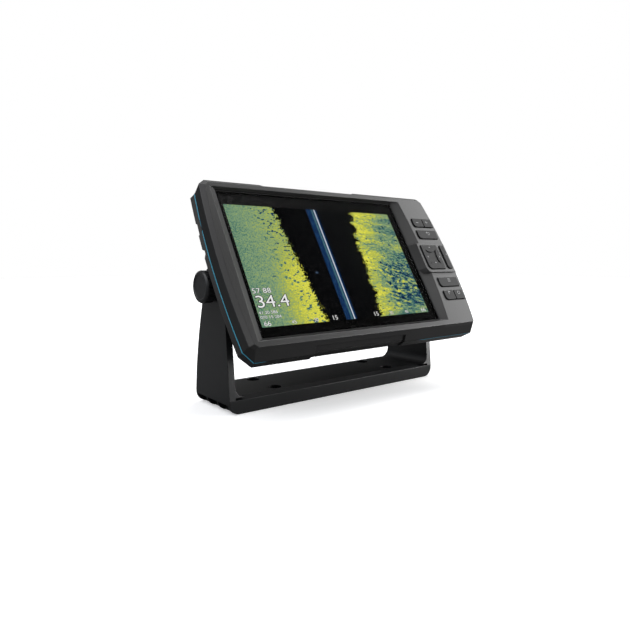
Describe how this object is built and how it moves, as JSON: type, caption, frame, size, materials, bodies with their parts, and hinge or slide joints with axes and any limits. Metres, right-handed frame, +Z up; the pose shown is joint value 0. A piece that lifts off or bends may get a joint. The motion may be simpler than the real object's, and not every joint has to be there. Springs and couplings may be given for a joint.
{
  "type": "chartplotter display",
  "caption": "Marine chartplotter with a wide screen and side keypad, tilting in a U-shaped bail bracket with a clamp knob at each side.",
  "frame": {"origin": "centre of the four screw holes on the bracket's underside", "axes": "+X to the viewer's right of the screen, along the bracket; +Y towards the back; +Z up"},
  "size_m": [0.288, 0.1183, 0.1989],
  "materials": {
    "bail_plastic": "satin moulded",
    "shell_plastic": "fine moulded texture",
    "accent": "satin",
    "seal_rubber": "matte",
    "key_rubber": "matte",
    "knob_plastic": "satin",
    "washer_plastic": "matte",
    "cover_glass": "bonded gloss",
    "lcd": "lit display",
    "tray_steel": "bright zinc",
    "screw_steel": "stainless",
    "spreader_aluminium": "milled",
    "brass": "turned",
    "socket_nickel": "nickel plated",
    "board_green": "solder mask",
    "chip_epoxy": "moulded epoxy",
    "antenna_ceramic": "fired",
    "cable_polyimide": "film",
    "membrane_ptfe": "expanded film"
  },
  "bodies": {
    "bail": {"bail_bracket": "bail_plastic"},
    "head": {"front_bezel": "shell_plastic", "accent_band": "accent", "case_gasket": "seal_rubber", "rear_case": "shell_plastic", "case_screws": "screw_steel", "vent_membrane": "membrane_ptfe", "cover_glass": "cover_glass", "glass_seal": "seal_rubber", "lcd_panel": "lcd", "lcd_frame": "washer_plastic", "lcd_screws": "screw_steel", "heat_spreader": "spreader_aluminium", "main_board": "board_green", "board_screws": "screw_steel", "board_chips": "chip_epoxy", "shield_cans": "tray_steel", "gps_antenna": "antenna_ceramic", "beeper": "chip_epoxy", "lcd_ribbon": "cable_polyimide", "keypad_ribbon": "cable_polyimide", "keypad_board": "board_green", "keypad_screws": "screw_steel", "dome_switches": "tray_steel", "keypad_membrane": "seal_rubber", "power_socket": "washer_plastic", "sonar_socket": "washer_plastic", "socket_nuts": "socket_nickel", "socket_seals": "seal_rubber", "socket_pins": "brass", "left_pivot_insert": "brass", "right_pivot_insert": "brass", "left_friction_washer": "washer_plastic", "right_friction_washer": "washer_plastic"},
    "left_washer": {"left_knob_washer": "washer_plastic"},
    "left_knob": {"left_knob": "knob_plastic", "left_knob_stud": "screw_steel"},
    "right_washer": {"right_knob_washer": "washer_plastic"},
    "right_knob": {"right_knob": "knob_plastic", "right_knob_stud": "screw_steel"},
    "zoom_out_key": {"key_zoom_out": "key_rubber"},
    "zoom_in_key": {"key_zoom_in": "key_rubber"},
    "back_key": {"key_back": "key_rubber"},
    "select_key": {"key_select": "key_rubber"},
    "menu_key": {"key_menu": "key_rubber"},
    "mark_key": {"key_mark": "key_rubber"},
    "power_key": {"key_power": "key_rubber"},
    "dpad_rocker": {"dpad_pivot": "washer_plastic"},
    "dpad": {"key_dpad": "key_rubber"}
  },
  "joints": [
    {"name": "head_tilt", "type": "hinge", "parent": "bail", "child": "head", "pos_m": [0, -0.0082, 0.1086], "axis": [-1, 0, 0], "range_deg": [-26, 44]},
    {"name": "left_knob_travel", "type": "slide", "parent": "head", "child": "left_washer", "axis": [-1, 0, 0], "range_m": [0, 0.0025]},
    {"name": "left_knob_turn", "type": "hinge", "parent": "left_washer", "child": "left_knob", "pos_m": [-0.137, -0.0082, 0.1086], "axis": [-1, 0, 0], "range_deg": [0, 720]},
    {"name": "right_knob_travel", "type": "slide", "parent": "head", "child": "right_washer", "axis": [1, 0, 0], "range_m": [0, 0.0025]},
    {"name": "right_knob_turn", "type": "hinge", "parent": "right_washer", "child": "right_knob", "pos_m": [0.137, -0.0082, 0.1086], "axis": [1, 0, 0], "range_deg": [0, 720]},
    {"name": "press_zoom_out", "type": "slide", "parent": "head", "child": "zoom_out_key", "axis": [0, 0.8563, -0.5165], "range_m": [0, 0.0009], "stiffness_N_per_m": 1200, "springref_m": -0.0006},
    {"name": "press_zoom_in", "type": "slide", "parent": "head", "child": "zoom_in_key", "axis": [0, 0.8563, -0.5165], "range_m": [0, 0.0009], "stiffness_N_per_m": 1200, "springref_m": -0.0006},
    {"name": "press_back", "type": "slide", "parent": "head", "child": "back_key", "axis": [0, 0.8563, -0.5165], "range_m": [0, 0.0009], "stiffness_N_per_m": 1200, "springref_m": -0.0006},
    {"name": "press_select", "type": "slide", "parent": "head", "child": "select_key", "axis": [0, 0.8563, -0.5165], "range_m": [0, 0.0009], "stiffness_N_per_m": 1200, "springref_m": -0.0006},
    {"name": "press_menu", "type": "slide", "parent": "head", "child": "menu_key", "axis": [0, 0.8563, -0.5165], "range_m": [0, 0.0009], "stiffness_N_per_m": 1200, "springref_m": -0.0006},
    {"name": "press_mark", "type": "slide", "parent": "head", "child": "mark_key", "axis": [0, 0.8563, -0.5165], "range_m": [0, 0.0009], "stiffness_N_per_m": 1200, "springref_m": -0.0006},
    {"name": "press_power", "type": "slide", "parent": "head", "child": "power_key", "axis": [0, 0.8563, -0.5165], "range_m": [0, 0.0009], "stiffness_N_per_m": 1200, "springref_m": -0.0006},
    {"name": "dpad_up_down", "type": "hinge", "parent": "head", "child": "dpad_rocker", "pos_m": [0.113, -0.04315, 0.1312], "axis": [1, 0, 0], "range_deg": [-1.8, 1.8], "stiffness_Nm_per_rad": 0.6},
    {"name": "dpad_left_right", "type": "hinge", "parent": "dpad_rocker", "child": "dpad", "pos_m": [0.113, -0.04315, 0.1312], "axis": [0, 0.5165, 0.8563], "range_deg": [-1.8, 1.8], "stiffness_Nm_per_rad": 0.6}
  ],
  "couplings": [
    {"joint": "left_knob_turn", "follows": "left_knob_travel", "rad_per_m": 5026.5},
    {"joint": "right_knob_turn", "follows": "right_knob_travel", "rad_per_m": 5026.5}
  ]
}
